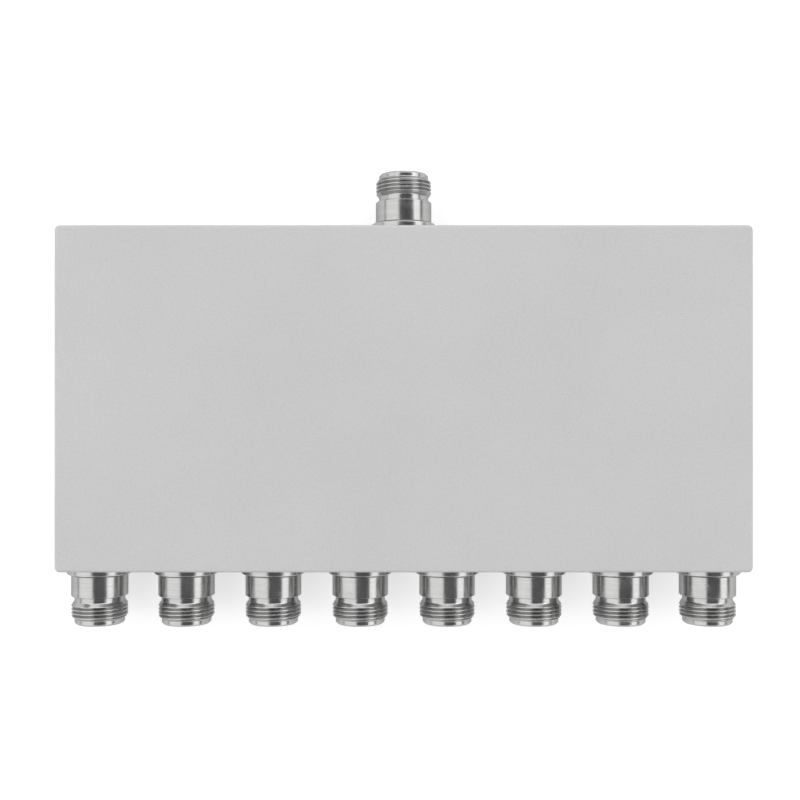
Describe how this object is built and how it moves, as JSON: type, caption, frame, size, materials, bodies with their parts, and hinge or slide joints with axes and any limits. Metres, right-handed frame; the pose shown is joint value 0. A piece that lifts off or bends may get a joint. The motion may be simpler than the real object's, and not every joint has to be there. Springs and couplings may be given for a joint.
{
  "type": "rf power splitter",
  "caption": "Flat grey box that splits a radio frequency signal, with a row of threaded coaxial output jacks along one long wall and an input jack in the other.",
  "frame": {"origin": "middle of the back cover's outer face, under the middle of the bounding box", "axes": "+Z out of the plain front face, +X along the row of output jacks, +Y towards the input jack"},
  "size_m": [0.195, 0.1288, 0.022],
  "materials": {
    "grey_coat": "light grey powder coat, fine grain",
    "jack_nickel": "bright nickel plate on turned brass",
    "white_insulator": "white fluoropolymer",
    "contact_gold": "gold plate",
    "board_laminate": "glass laminate",
    "strip_copper": "plated copper",
    "chip_body": "coated ceramic",
    "screw_steel": "zinc plated"
  },
  "bodies": {
    "root": {"housing": "grey_coat", "back_cover": "grey_coat", "cover_screws": "screw_steel", "board_screws": "screw_steel", "splitter_board": "board_laminate", "strip_conductors": "strip_copper", "input_shell": "jack_nickel", "input_insulator": "white_insulator", "input_contact": "contact_gold", "output_1_shell": "jack_nickel", "output_1_insulator": "white_insulator", "output_1_contact": "contact_gold", "output_2_shell": "jack_nickel", "output_2_insulator": "white_insulator", "output_2_contact": "contact_gold", "output_3_shell": "jack_nickel", "output_3_insulator": "white_insulator", "output_3_contact": "contact_gold", "output_4_shell": "jack_nickel", "output_4_insulator": "white_insulator", "output_4_contact": "contact_gold", "output_5_shell": "jack_nickel", "output_5_insulator": "white_insulator", "output_5_contact": "contact_gold", "output_6_shell": "jack_nickel", "output_6_insulator": "white_insulator", "output_6_contact": "contact_gold", "output_7_shell": "jack_nickel", "output_7_insulator": "white_insulator", "output_7_contact": "contact_gold", "output_8_shell": "jack_nickel", "output_8_insulator": "white_insulator", "output_8_contact": "contact_gold", "isolation_resistor_1": "chip_body", "isolation_resistor_2": "chip_body", "isolation_resistor_3": "chip_body", "isolation_resistor_4": "chip_body", "isolation_resistor_5": "chip_body", "isolation_resistor_6": "chip_body", "isolation_resistor_7": "chip_body", "isolation_resistor_8": "chip_body", "isolation_resistor_9": "chip_body", "isolation_resistor_10": "chip_body", "isolation_resistor_11": "chip_body", "isolation_resistor_12": "chip_body", "isolation_resistor_13": "chip_body", "isolation_resistor_14": "chip_body"}
  },
  "joints": []
}
